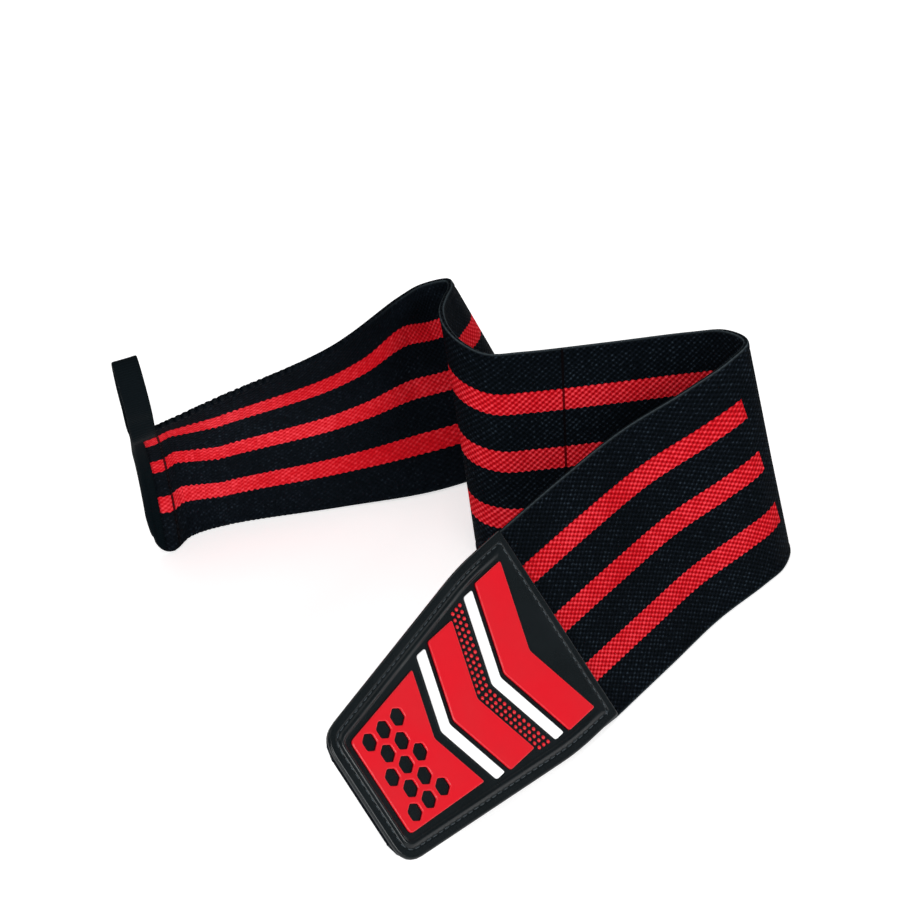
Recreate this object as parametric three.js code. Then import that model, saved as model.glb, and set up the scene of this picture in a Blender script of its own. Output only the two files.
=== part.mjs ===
// Wrist wrap: an elastic strap standing on its lower edge in a loose zigzag. One end has a cloth
// binding and a thumb loop of flat tape, the other a moulded rubber patch with a hook pad behind it.
// Millimetres, +Z up. X runs along the zigzag's runs and Y away from its open front.

import * as THREE from 'three';
import { mergeVertices } from 'three/addons/utils/BufferGeometryUtils.js';

// Driving sizes
const STRAP_WIDTH = 80;
const STRAP_THICKNESS = 2;
const CORNER_RADIUS = 7;
const GAP = 0.3;

const BINDING_THICKNESS = 0.9;
const LOOP_TAPE_WIDTH = 9.5;
const LOOP_TAPE_THICKNESS = 1.2;
const LOOP_HEIGHT = 33.3;
const LOOP_OPENING = 12;
const LOOP_TUCK = 11;
const LOOP_LEAN = 0.09;
const LOOP_TURN = THREE.MathUtils.degToRad(10);
const LOOP_TURN_HEIGHT = 10;

const PATCH_LENGTH = 122.5;
const PATCH_STRAIGHT = 26;
const PATCH_TIP_WIDTH = 55;
const PATCH_TIP_RADIUS = 9;
const PATCH_THICKNESS = 1.6;
const PATCH_BEVEL = 0.5;
const PATCH_RIM = 7;
const PATCH_RISE = 1;
const PATCH_TURN = THREE.MathUtils.degToRad(1.2);
const STRAP_INSET = 1;
const STRAP_TIP_RADIUS = 8;

const RELIEF_HEIGHT = 0.9;
const RELIEF_BEVEL = 0.3;
const CHEVRON_RISE = 0.36;
const HEXAGON_RADIUS = 3.6;
const HEXAGON_PITCH = 8.6;
const HEXAGON_START = 9;
const HEXAGON_COLUMNS = [-2, -1, 0, 1, 2];
const HEXAGON_ROWS = 3;

const HOOK_THICKNESS = 1.5;
const HOOK_INSET = 5;

// Mesh steps
const SPAN_STEPS = 5;
const ACROSS_STEPS = 6;
const BINDING_STEPS = 4;
const LOOP_STEPS = 28;
const TIP_STEPS = 4;
const ARC_STEPS = 5;

// Rulings of the strap from the loop end to the patch. The foot is on the floor, the head is the
// upper edge above it, and the bow is how far the strap's middle hollows back, square to the ruling.
const RULINGS = [
  { name: 'loop end', footX: -111.5, footY: 11, headX: -114.5, headY: -13.5, headZ: 70.5, bow: 11.5 },
  { name: 'end curl', footX: -105, footY: 13.5, headX: -108, headY: -10.8, headZ: 71, bow: 11 },
  { name: 'hem', footX: -99, footY: 21, headX: -101.5, headY: -8, headZ: 71.5, bow: 10.5 },
  { name: 'back run, left', footX: -85.5, footY: 26, headX: -83, headY: -1, headZ: 74.2, bow: 5 },
  { name: 'back run', footX: -44, footY: 29, headX: -39.5, headY: 17.5, headZ: 78.5, bow: 4 },
  { name: 'back run, right', footX: -8, footY: 32, headX: -12, headY: 45.5, headZ: 78.5, bow: 4 },
  { name: 'apex, entry', footX: 19, footY: 41, headX: -3.5, headY: 53, headZ: 78, bow: 2 },
  { name: 'apex', footX: 36, footY: 48, headX: 6, headY: 54.5, headZ: 78, bow: 0 },
  { name: 'apex, exit', footX: 36, footY: 40, headX: 6.5, headY: 48.5, headZ: 78.5, bow: 0 },
  { name: 'short run', footX: 24, footY: 20, headX: 4.5, headY: 43, headZ: 78.5, bow: 0 },
  { name: 'left fold, entry', footX: 11, footY: 2, headX: 2.6, headY: 36, headZ: 78, bow: 0 },
  { name: 'left fold', footX: 6.5, footY: -8, headX: 3.8, headY: 26, headZ: 77, bow: 0 },
  { name: 'left fold, exit', footX: 10.5, footY: -18.5, headX: 8.5, headY: 18.5, headZ: 74.5, bow: 0 },
  { name: 'middle run, start', footX: 20, footY: -23.5, headX: 17, headY: 13.5, headZ: 71.5, bow: 0 },
  { name: 'middle run, left', footX: 32, footY: -24, headX: 30, headY: 14, headZ: 70, bow: 0 },
  { name: 'middle run', footX: 62, footY: -24, headX: 61, headY: 14, headZ: 70, bow: 0 },
  { name: 'middle run, right', footX: 92, footY: -24, headX: 92, headY: 14.5, headZ: 70, bow: 0 },
  { name: 'right fold, entry', footX: 108, footY: -22, headX: 104.5, headY: 5, headZ: 75.5, bow: 0 },
  { name: 'right fold', footX: 118, footY: -29, headX: 111, headY: -7.5, headZ: 78, bow: 0 },
  { name: 'right fold, bend', footX: 115.5, footY: -41, headX: 103.5, headY: -15.5, headZ: 76, bow: 0 },
  { name: 'right fold, exit', footX: 108, footY: -50, headX: 87.5, headY: -26, headZ: 73, bow: 0 },
  { name: 'front run, right', footX: 89.5, footY: -68.5, headX: 62, headY: -42.5, headZ: 70, bow: 0 },
  { name: 'front run', footX: 70.5, footY: -92.5, headX: 38, headY: -65.5, headZ: 68, bow: 0 },
  { name: 'patch', footX: 48.5, footY: -120.2, headX: 12.5, headY: -92.7, headZ: 66, bow: 0 },
];

// Side of the thumb loop above the strap's edge, as shares of its height and of its half opening
const LOOP_SIDE = [
  { name: 'neck', height: 0.05, width: 0.3 },
  { name: 'belly, lower', height: 0.38, width: 1 },
  { name: 'belly, upper', height: 0.6, width: 1 },
  { name: 'shoulder', height: 0.88, width: 0.55 },
];

// Raised bars of the patch, each a chevron whose point is at apex from the patch's inner end
const CHEVRONS = [
  { name: 'patch_bar_red_inner', apex: 36, thickness: 16, colour: 'red' },
  { name: 'patch_bar_white_inner', apex: 43.5, thickness: 5, colour: 'white' },
  { name: 'patch_bar_red_outer', apex: 68, thickness: 15, colour: 'red' },
  { name: 'patch_bar_white_outer', apex: 75.5, thickness: 5, colour: 'white' },
];
const TIP_PANEL_START = 80;
const TIP_PANEL_MARGIN = 9;

const FINISHES = {
  elastic: { color: 0x16181b, roughness: 0.9 },
  tape: { color: 0x0d0f11, roughness: 0.85 },
  rubber: { color: 0x1b1f22, roughness: 0.45 },
  red: { color: 0xe0141f, roughness: 0.4 },
  white: { color: 0xf2f3f3, roughness: 0.4 },
  hook: { color: 0x101214, roughness: 0.95 },
};

const materials = Object.fromEntries(
  Object.entries(FINISHES).map(([name, finish]) => [
    name,
    new THREE.MeshStandardMaterial({ ...finish, metalness: 0 }),
  ]),
);

function namedMesh(name, geometry, finish) {
  const mesh = new THREE.Mesh(geometry, materials[finish]);
  mesh.name = name;
  return mesh;
}

// Closed solid through a row of rings with the same even number of points. Each ring goes along one
// side of a wall and back along the other, so its end caps are quads between facing points.
function loft(rings) {
  const count = rings[0].length;
  const positions = rings.flat().flatMap((point) => point.toArray());
  const faces = [];
  const addQuad = (a, b, c, d) => faces.push([a, b, c], [a, c, d]);
  for (let ring = 0; ring < rings.length - 1; ring++) {
    for (let k = 0; k < count; k++) {
      const a = ring * count + k;
      const b = ring * count + ((k + 1) % count);
      addQuad(a, b, b + count, a + count);
    }
  }
  const last = (rings.length - 1) * count;
  for (let k = 0; k < count / 2 - 1; k++) {
    const facing = count - 1 - k;
    addQuad(k, facing, facing - 1, k + 1);
    addQuad(last + k, last + k + 1, last + facing - 1, last + facing);
  }
  const geometry = new THREE.BufferGeometry();
  geometry.setAttribute('position', new THREE.Float32BufferAttribute(positions, 3));
  geometry.setIndex(turnedOutwards(positions, faces).flat());
  return geometry;
}

// The same faces, turned round if the solid's signed volume is negative
function turnedOutwards(positions, faces) {
  const corner = (index) => new THREE.Vector3().fromArray(positions, 3 * index);
  let volume = 0;
  for (const [a, b, c] of faces) {
    volume += corner(a).dot(corner(b).cross(corner(c)));
  }
  return volume > 0 ? faces : faces.map(([a, b, c]) => [a, c, b]);
}

// The strap's two edges as curves, and the axes of the level run under the patch
const X_AXIS = new THREE.Vector3(1, 0, 0);
const foots = RULINGS.map((row) => new THREE.Vector3(row.footX, row.footY, 0));
const heads = RULINGS.map((row) => new THREE.Vector3(row.headX, row.headY, row.headZ));
const footCurve = new THREE.CatmullRomCurve3(foots, false, 'centripetal');
const headCurve = new THREE.CatmullRomCurve3(heads, false, 'centripetal');

const lastUp = heads.at(-1).clone().sub(foots.at(-1)).normalize();
const lastAlong = new THREE.Vector3(-lastUp.y, lastUp.x, 0).normalize();
const patchOut = lastUp.clone().cross(lastAlong);
const patchUp = lastUp.clone().applyAxisAngle(patchOut, -PATCH_TURN);
const patchAlong = lastAlong.clone().applyAxisAngle(patchOut, -PATCH_TURN);
const patchCentre = foots.at(-1).clone().addScaledVector(lastUp, STRAP_WIDTH / 2 + PATCH_RISE);

function halfWidthAt(along) {
  const taper = Math.max(0, along - PATCH_STRAIGHT) / (PATCH_LENGTH - PATCH_STRAIGHT);
  return THREE.MathUtils.lerp(STRAP_WIDTH, PATCH_TIP_WIDTH, taper) / 2;
}

// Share of the width that a rounded corner takes, at a distance from the strap's end
function cornerShare(distance, radius) {
  const reach = Math.max(0, radius - distance);
  return (radius - Math.sqrt(radius * radius - reach * reach)) / STRAP_WIDTH;
}

// A point of the bent strap: span counts rulings, share runs from the lower to the upper edge
function bentPoint(span, share) {
  const t = span / (RULINGS.length - 1);
  const foot = footCurve.getPoint(t);
  const head = headCurve.getPoint(t);
  const row = Math.min(Math.floor(span), RULINGS.length - 2);
  const bow = THREE.MathUtils.lerp(RULINGS[row].bow, RULINGS[row + 1].bow, span - row);
  const hollow = head.clone().sub(foot).cross(X_AXIS).normalize();
  return foot.lerp(head, share).addScaledVector(hollow, bow * 4 * share * (1 - share));
}

// A point of the level run, measured from the patch's inner end
function straightPoint(along, share) {
  const point = patchCentre.clone().addScaledVector(patchUp, STRAP_WIDTH * (share - 0.5));
  return point.addScaledVector(patchAlong, along);
}

function strapRows() {
  const shares = Array.from({ length: ACROSS_STEPS + 1 }, (_, k) => k / ACROSS_STEPS);
  const rows = [];
  const endLength = foots[0].distanceTo(foots[1]);
  const lastSpan = RULINGS.length - 1;
  for (let step = 0; step <= lastSpan * SPAN_STEPS; step++) {
    const span = step / SPAN_STEPS;
    const low = cornerShare(span * endLength, CORNER_RADIUS);
    rows.push(shares.map((share) => bentPoint(span, low + (1 - low) * share)));
  }
  const tip = PATCH_LENGTH - STRAP_INSET;
  const roundStart = tip - PATCH_TIP_RADIUS;
  const rounding = Array.from({ length: TIP_STEPS }, (_, k) => (k + 1) / TIP_STEPS);
  const roundMarks = rounding.map((k) => roundStart + PATCH_TIP_RADIUS * k);
  const marks = [PATCH_STRAIGHT, roundStart, ...roundMarks];
  for (const along of marks) {
    const corner = cornerShare(tip - along, STRAP_TIP_RADIUS);
    const half = (halfWidthAt(along) - STRAP_INSET) / STRAP_WIDTH - corner;
    rows.push(shares.map((share) => straightPoint(along, 0.5 + half * (2 * share - 1))));
  }
  return rows;
}

// Unit normals of a net of points, from the differences along and across it
function rowNormals(rows) {
  return rows.map((row, i) =>
    row.map((_, k) => {
      const ahead = rows[Math.min(i + 1, rows.length - 1)][k];
      const behind = rows[Math.max(i - 1, 0)][k];
      const above = row[Math.min(k + 1, row.length - 1)];
      const below = row[Math.max(k - 1, 0)];
      const along = ahead.clone().sub(behind);
      return along.cross(above.clone().sub(below)).normalize();
    }),
  );
}

const rows = strapRows();
const normals = rowNormals(rows);

function lifted(i, k, offset) {
  return rows[i][k].clone().addScaledVector(normals[i][k], offset);
}

function elasticStrap() {
  const last = rows[0].length - 1;
  const up = Array.from({ length: last + 1 }, (_, k) => k);
  const down = [...up].reverse();
  const half = STRAP_THICKNESS / 2;
  const rings = rows.map((_, i) => [
    ...up.map((k) => lifted(i, k, half)),
    ...down.map((k) => lifted(i, k, -half)),
  ]);
  return namedMesh('elastic_strap', loft(rings), 'elastic');
}

// U-shaped tape folded over the loop end, below the loop's tucked legs
function endBinding() {
  const inner = STRAP_THICKNESS / 2 + GAP;
  const outer = inner + BINDING_THICKNESS;
  const steps = Array.from({ length: BINDING_STEPS + 1 }, (_, k) => k);
  const top = ACROSS_STEPS - Math.ceil((LOOP_TUCK / STRAP_WIDTH) * ACROSS_STEPS);
  const outwards = rows[0][top].clone().sub(rows[1][top]).normalize();
  const rings = [];
  for (let k = 0; k <= top; k++) {
    const beyond = (offset, reach) => lifted(0, k, offset).addScaledVector(outwards, reach);
    rings.push([
      ...[...steps].reverse().map((i) => lifted(i, k, outer)),
      beyond(outer, outer),
      beyond(-outer, outer),
      ...steps.map((i) => lifted(i, k, -outer)),
      ...[...steps].reverse().map((i) => lifted(i, k, -inner)),
      beyond(-inner, GAP),
      beyond(inner, GAP),
      ...steps.map((i) => lifted(i, k, inner)),
    ]);
  }
  return namedMesh('end_binding', loft(rings), 'tape');
}

// Side view of the thumb loop: x is the distance from the strap's middle, y the height above its edge
function loopProfile() {
  const seat = STRAP_THICKNESS / 2 + GAP + LOOP_TAPE_THICKNESS / 2;
  const wide = (LOOP_OPENING + LOOP_TAPE_THICKNESS) / 2;
  const side = [
    new THREE.Vector3(seat, -LOOP_TUCK, 0),
    new THREE.Vector3(seat, -LOOP_TUCK / 2, 0),
    ...LOOP_SIDE.map((row) => new THREE.Vector3(wide * row.width, LOOP_HEIGHT * row.height, 0)),
  ];
  const crown = new THREE.Vector3(0, LOOP_HEIGHT - LOOP_TAPE_THICKNESS / 2, 0);
  const mirrored = side.map((point) => new THREE.Vector3(-point.x, point.y, 0)).reverse();
  return new THREE.CatmullRomCurve3([...side, crown, ...mirrored], false, 'centripetal');
}

// Flat tape bent into a standing loop whose legs lie on the strap's two faces at its upper corner.
// Each frame is the tape's width, outward and upward axes: seated on the strap, then standing free.
function thumbLoop() {
  const top = ACROSS_STEPS;
  const frameOf = (width, up) => [width, width.clone().cross(up).normalize(), up];
  const seatedWidth = rows[1][top].clone().sub(rows[0][top]).normalize();
  const seatedUp = rows[0][top].clone().sub(rows[0][top - 1]).normalize();
  const seated = frameOf(seatedWidth, seatedUp);
  const standingUp = new THREE.Vector3(-LOOP_LEAN, 0, 1).normalize();
  const turned = new THREE.Vector3(Math.cos(LOOP_TURN), Math.sin(LOOP_TURN), 0);
  const standing = frameOf(turned.projectOnPlane(standingUp).normalize(), standingUp);
  const edge = rows[0][top].clone().addScaledVector(seatedWidth, LOOP_TAPE_WIDTH / 2);
  const profile = loopProfile();
  const half = LOOP_TAPE_THICKNESS / 2;
  const rings = [];
  for (let step = 0; step <= LOOP_STEPS; step++) {
    const point = profile.getPoint(step / LOOP_STEPS);
    const heading = profile.getTangent(step / LOOP_STEPS);
    const share = THREE.MathUtils.smoothstep(point.y, 0, LOOP_TURN_HEIGHT);
    const [width, out, up] = seated.map((axis, k) => axis.clone().lerp(standing[k], share).normalize());
    const place = (offset, sideways) =>
      edge
        .clone()
        .addScaledVector(out, point.x + offset * heading.y)
        .addScaledVector(up, point.y - offset * heading.x)
        .addScaledVector(width, sideways);
    const reach = LOOP_TAPE_WIDTH / 2;
    rings.push([place(half, -reach), place(half, reach), place(-half, reach), place(-half, -reach)]);
  }
  return namedMesh('thumb_loop', loft(rings), 'tape');
}

// Patch outline with x across the strap and y along it, moved in by an inset from every side
function patchOutline(inset, tipRadius) {
  const tip = PATCH_LENGTH - inset;
  const shoulder = STRAP_WIDTH / 2 - inset;
  const half = halfWidthAt(tip) - inset;
  const lean = (shoulder - half) / (tip - PATCH_STRAIGHT);
  const round = (sign) => [sign * (half + lean * tipRadius), tip - tipRadius];
  const shape = new THREE.Shape();
  shape.moveTo(-shoulder, inset);
  shape.lineTo(shoulder, inset);
  shape.lineTo(shoulder, PATCH_STRAIGHT);
  shape.lineTo(...round(1));
  shape.quadraticCurveTo(half, tip, half - tipRadius, tip);
  shape.lineTo(tipRadius - half, tip);
  shape.quadraticCurveTo(-half, tip, ...round(-1));
  shape.lineTo(-shoulder, PATCH_STRAIGHT);
  shape.closePath();
  return shape;
}

function plate(shape, thickness, bevel) {
  const geometry = new THREE.ExtrudeGeometry(shape, {
    depth: thickness - 2 * bevel,
    bevelEnabled: bevel > 0,
    bevelThickness: bevel,
    bevelSize: bevel,
    bevelOffset: -bevel,
    bevelSegments: 1,
    curveSegments: ARC_STEPS,
  });
  geometry.translate(0, 0, bevel);
  geometry.deleteAttribute('normal');
  geometry.deleteAttribute('uv');
  return mergeVertices(geometry, 1e-3);
}

function chevronShape({ apex, thickness }) {
  const sideAt = (half) => apex - CHEVRON_RISE * half;
  const half = halfWidthAt(apex) - PATCH_RIM;
  const shape = new THREE.Shape();
  shape.moveTo(0, apex);
  shape.lineTo(-half, sideAt(half));
  shape.lineTo(-half, sideAt(half) - thickness);
  shape.lineTo(0, apex - thickness);
  shape.lineTo(half, sideAt(half) - thickness);
  shape.lineTo(half, sideAt(half));
  shape.closePath();
  return shape;
}

function hexagon(x, y) {
  const path = new THREE.Path();
  for (let k = 0; k < 6; k++) {
    const angle = (k * Math.PI) / 3;
    const corner = [x + HEXAGON_RADIUS * Math.cos(angle), y - HEXAGON_RADIUS * Math.sin(angle)];
    if (k === 0) {
      path.moveTo(...corner);
    } else {
      path.lineTo(...corner);
    }
  }
  path.closePath();
  return path;
}

// Tip panel: notched to follow the last chevron, with staggered columns of hexagonal windows
function tipPanelShape() {
  const end = PATCH_LENGTH - TIP_PANEL_MARGIN;
  const startHalf = halfWidthAt(TIP_PANEL_START) - TIP_PANEL_MARGIN;
  const endHalf = halfWidthAt(end) - TIP_PANEL_MARGIN;
  const shape = new THREE.Shape();
  shape.moveTo(0, TIP_PANEL_START);
  shape.lineTo(startHalf, TIP_PANEL_START - CHEVRON_RISE * startHalf);
  shape.lineTo(endHalf, end);
  shape.lineTo(-endHalf, end);
  shape.lineTo(-startHalf, TIP_PANEL_START - CHEVRON_RISE * startHalf);
  shape.closePath();
  for (const column of HEXAGON_COLUMNS) {
    const odd = Math.abs(column) % 2;
    const x = column * HEXAGON_PITCH * Math.cos(Math.PI / 6);
    for (let row = 0; row < HEXAGON_ROWS - odd; row++) {
      const y = TIP_PANEL_START + HEXAGON_START + (row + odd / 2) * HEXAGON_PITCH;
      shape.holes.push(hexagon(x, y));
    }
  }
  return shape;
}

function patchEnd() {
  const group = new THREE.Group();
  const axes = new THREE.Matrix4().makeBasis(patchUp, patchAlong, patchOut);
  group.applyMatrix4(axes.setPosition(patchCentre));

  const seat = STRAP_THICKNESS / 2 + GAP;
  const baseShape = patchOutline(0, PATCH_TIP_RADIUS);
  const base = namedMesh('patch_base', plate(baseShape, PATCH_THICKNESS, PATCH_BEVEL), 'rubber');
  base.position.z = seat;
  group.add(base);

  const raised = CHEVRONS.map((row) => ({ ...row, shape: chevronShape(row) }));
  raised.push({ name: 'patch_tip_panel', colour: 'red', shape: tipPanelShape() });
  for (const { name, shape, colour } of raised) {
    const mesh = namedMesh(name, plate(shape, RELIEF_HEIGHT, RELIEF_BEVEL), colour);
    mesh.position.z = seat + PATCH_THICKNESS + GAP;
    group.add(mesh);
  }

  const hookShape = patchOutline(HOOK_INSET, PATCH_TIP_RADIUS);
  const hook = namedMesh('hook_pad', plate(hookShape, HOOK_THICKNESS, 0), 'hook');
  hook.position.z = -seat - HOOK_THICKNESS;
  group.add(hook);
  return group;
}

// The whole wrap, with its origin on the floor under the middle of its box
const wristWrap = new THREE.Group();
wristWrap.add(elasticStrap(), endBinding(), thumbLoop(), patchEnd());
wristWrap.updateMatrixWorld(true);
const box = new THREE.Box3().setFromObject(wristWrap, true);
const middle = box.getCenter(new THREE.Vector3());
wristWrap.position.set(-middle.x, -middle.y, -box.min.z);

export default wristWrap;
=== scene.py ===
"""A wrist wrap, dressed around its solids: striped elastic strap, tape thumb loop and moulded rubber patch.

Sizes in the tables and fields are millimetres. Meshes are in metres, in the part's own frame.
"""

import logging
import math
from dataclasses import dataclass, field
from enum import Enum
from functools import cached_property, partial
from typing import Any, Callable, NamedTuple, Sequence

import bpy
import numpy as np
from mathutils import Matrix, Vector


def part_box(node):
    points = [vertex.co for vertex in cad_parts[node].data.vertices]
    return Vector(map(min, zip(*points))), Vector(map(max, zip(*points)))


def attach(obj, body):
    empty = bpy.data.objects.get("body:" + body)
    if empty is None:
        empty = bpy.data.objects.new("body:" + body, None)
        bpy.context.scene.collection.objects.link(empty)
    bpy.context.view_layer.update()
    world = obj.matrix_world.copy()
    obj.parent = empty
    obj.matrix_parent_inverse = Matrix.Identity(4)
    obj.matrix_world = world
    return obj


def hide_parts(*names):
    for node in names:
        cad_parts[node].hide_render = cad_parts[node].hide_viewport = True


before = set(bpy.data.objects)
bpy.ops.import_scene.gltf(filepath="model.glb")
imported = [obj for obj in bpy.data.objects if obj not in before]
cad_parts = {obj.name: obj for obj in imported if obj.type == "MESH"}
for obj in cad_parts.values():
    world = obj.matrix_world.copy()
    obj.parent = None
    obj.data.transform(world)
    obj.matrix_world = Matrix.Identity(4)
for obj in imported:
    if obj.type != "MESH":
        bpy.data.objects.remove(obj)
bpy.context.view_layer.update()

Material = bpy.types.Material
Piece = bpy.types.Object
NodeTree = bpy.types.NodeTree
Node = bpy.types.Node
Adder = Callable[..., Node]
Pair = tuple[float, float]
Table = tuple[Pair, ...]
log = logging.getLogger("wrist_wrap")

MM = 0.001
BODY = "root"

# The strap's width, and the place of its hem from the loop end
STRAP_WIDTH = 80
HEM_PLACE = 9.3

# Node kinds that the finishes share
MATH = "ShaderNodeMath"
MIX = "ShaderNodeMix"
RANGE = "ShaderNodeMapRange"
NOISE = "ShaderNodeTexNoise"
WAVE = "ShaderNodeTexWave"
BUMP = "ShaderNodeBump"

# Radians that the bands of a wave texture turn through in one unit of length, at a scale of 1
BAND_RATE = 20


class Face(Enum):
    """The strap's two faces, by the side of the path that they look to."""

    PEBBLE = 1
    BRICK = -1


class Edge(Enum):
    """The strap's two selvedges, by their share of the width."""

    LOWER = 0.0
    UPPER = 1.0


class Caps(Enum):
    """How a body through rings is closed at its two ends."""

    STRIP = "quads between the facing points of a ring that goes there and back"
    PLATE = "one face over the whole ring"


class Rubber(Enum):
    """The patch's colours, by the record's material slot."""

    BLACK = "rubber"
    RED = "red_rubber"
    WHITE = "white_rubber"


class Ruling(NamedTuple):
    """A line across the strap, from its foot on the floor to its head, hollowed in the middle by the bow."""

    foot_x: float
    foot_y: float
    head_x: float
    head_y: float
    head_z: float
    bow: float = 0


class SectionRow(NamedTuple):
    """A point of the strap's section: its distance from the edge, half thickness and how much painted
    highlight its cords get.
    """

    inset: float
    half: float
    cord_highlight: float = 0


class Band(NamedTuple):
    """A band across the strap: its place and width along, how far it leans and the share it leans about."""

    place: float
    width: float
    lean: float = 0
    pivot: float = 0.5


class Swing(NamedTuple):
    """How far one value varies another: it is multiplied by the gain, and the base is added."""

    gain: float
    base: float


class Bar(NamedTuple):
    """A chevron bar on the patch: its node, the place of its point, its thickness and its colour."""

    node: str
    apex: float
    thickness: float
    rubber: Rubber


class Lamp(NamedTuple):
    """A square soft light: its name, its place and size in metres, and its power in watts."""

    name: str
    place: tuple[float, float, float]
    size: float
    power: float


# The strap's rulings, from the loop end to the patch
RULINGS = {
    "loop end": Ruling(-111.5, 11, -114.5, -13.5, 70.5, 11.5),
    "end curl": Ruling(-105, 13.5, -108, -10.8, 71, 11),
    "hem": Ruling(-99, 21, -101.5, -8, 71.5, 10.5),
    "back run, left": Ruling(-85.5, 26, -83, -1, 74.2, 5),
    "back run": Ruling(-44, 29, -39.5, 17.5, 78.5, 4),
    "back run, right": Ruling(-8, 32, -12, 45.5, 78.5, 4),
    "apex, entry": Ruling(19, 41, -3.5, 53, 78, 2),
    "apex": Ruling(36, 48, 6, 54.5, 78),
    "apex, exit": Ruling(36, 40, 6.5, 48.5, 78.5),
    "short run": Ruling(24, 20, 4.5, 43, 78.5),
    "left fold, entry": Ruling(11, 2, 2.6, 36, 78),
    "left fold": Ruling(6.5, -8, 3.8, 26, 77),
    "left fold, exit": Ruling(10.5, -18.5, 8.5, 18.5, 74.5),
    "middle run, start": Ruling(20, -23.5, 17, 13.5, 71.5),
    "middle run, left": Ruling(32, -24, 30, 14, 70),
    "middle run": Ruling(62, -24, 61, 14, 70),
    "middle run, right": Ruling(92, -24, 92, 14.5, 70),
    "right fold, entry": Ruling(108, -22, 104.5, 5, 75.5),
    "right fold": Ruling(118, -29, 111, -7.5, 78),
    "right fold, bend": Ruling(115.5, -41, 103.5, -15.5, 76),
    "right fold, exit": Ruling(108, -50, 87.5, -26, 73),
    "front run, right": Ruling(89.5, -68.5, 62, -42.5, 70),
    "front run": Ruling(70.5, -92.5, 38, -65.5, 68),
    "patch": Ruling(48.5, -120.2, 12.5, -92.7, 66),
}

# Half of the strap's section near an edge. Two cords run along the edge with a groove between them,
# and a bead and a second groove lie inside them
# A row's last value is how much painted highlight the cords get there
SELVEDGE = (
    SectionRow(0.6, 0.06), SectionRow(0.2, 0.2), SectionRow(0, 0.55, cord_highlight=0.3),
    SectionRow(0.12, 0.82, cord_highlight=1), SectionRow(0.45, 0.98, cord_highlight=0.3), SectionRow(0.9, 1.04),
    SectionRow(1.6, 1.1), SectionRow(2.2, 1.06), SectionRow(2.7, 0.92),
    SectionRow(3.1, 0.84), SectionRow(3.5, 0.92), SectionRow(4.2, 1),
)


# Shared helpers for colours, nodes and meshes


def linear(colour: str) -> tuple[float, float, float, float]:
    """Turns an sRGB colour to linear.

    Args:
        colour: A hex colour such as "#c0141f".

    Returns:
        Linear red, green, blue and alpha.
    """
    parts = [int(colour[k:k + 2], 16) / 255 for k in (1, 3, 5)]
    red, green, blue = (c / 12.92 if c <= 0.04045 else ((c + 0.055) / 1.055) ** 2.4 for c in parts)
    return red, green, blue, 1.0


def fill(node: Node, values: Sequence[Any] = (), inputs: dict[str, Any] | None = None) -> None:
    """Sets or links a node's live inputs. A node that is given as a value stands for its first live output.

    Args:
        node: The node.
        values: Values of its first inputs, in order.
        inputs: Values of other inputs, by name.
    """
    live = [socket for socket in node.inputs if socket.enabled]
    named = {socket.name: socket for socket in live}
    pairs = [*zip(live, values), *((named[name], value) for name, value in (inputs or {}).items())]
    for socket, value in pairs:
        if isinstance(value, Node):
            value = next(output for output in value.outputs if output.enabled)
        if isinstance(value, bpy.types.NodeSocket):
            node.id_data.links.new(value, socket)
        else:
            socket.default_value = value


def add_node(tree: NodeTree, kind: str, *values: Any, inputs: dict[str, Any] | None = None,
             **settings: Any) -> Node:
    """Adds a node with its settings and links.

    Args:
        tree: The node tree that takes it.
        kind: Blender's name of the node type.
        values: Values or links of its first live inputs, in order.
        inputs: Values or links of other inputs, by name.
        settings: Properties of the node, by name.

    Returns:
        The new node.
    """
    node = tree.nodes.new(kind)
    for name, value in settings.items():
        setattr(node, name, value)
    fill(node, values, inputs)
    return node


def shader(name: str) -> tuple[Material, Adder, Node]:
    """Makes a material whose tree holds one Principled shader.

    Args:
        name: The material's name.

    Returns:
        The material, the function that adds nodes to its tree, and the shader node.
    """
    material = bpy.data.materials.new(name)
    material.use_nodes = True
    material.node_tree.nodes.clear()
    add = partial(add_node, material.node_tree)
    surface = add("ShaderNodeBsdfPrincipled")
    add("ShaderNodeOutputMaterial", surface)
    return material, add, surface


def linked(name: str, mesh: bpy.types.Mesh, materials: Sequence[Material]) -> Piece:
    """Smooths and dresses a mesh and links it as an object at the origin.

    Args:
        name: The piece's name.
        mesh: Its mesh, in metres.
        materials: Its materials, in slot order.

    Returns:
        The linked object.
    """
    mesh.name = name
    mesh.materials.clear()
    for material in materials:
        mesh.materials.append(material)
    mesh.polygons.foreach_set("use_smooth", [True] * len(mesh.polygons))
    mesh.update()
    piece = bpy.data.objects.new(name, mesh)
    bpy.context.scene.collection.objects.link(piece)
    return piece


def new_piece(name: str, points: np.ndarray, faces: Sequence[Sequence[int]],
              materials: Sequence[Material]) -> Piece:
    """Makes a smooth mesh object from points in millimetres.

    Args:
        name: The piece's name.
        points: Vertices, as any array of coordinates.
        faces: Vertex numbers of each face.
        materials: The piece's materials, in slot order.

    Returns:
        The linked object, at the origin.
    """
    mesh = bpy.data.meshes.new(name)
    mesh.from_pydata((points.reshape(-1, 3) * MM).tolist(), [], faces)
    return linked(name, mesh, materials)


def plain_mesh(source: Piece) -> bpy.types.Mesh:
    """A plain mesh of what an object's modifiers or curve make."""
    return bpy.data.meshes.new_from_object(source.evaluated_get(bpy.context.evaluated_depsgraph_get()))


def set_vectors(mesh: bpy.types.Mesh, name: str, vectors: np.ndarray) -> None:
    """Gives a mesh a named vector on each of its points."""
    mesh.attributes.new(name, "FLOAT_VECTOR", "POINT").data.foreach_set("vector", vectors.ravel())


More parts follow.
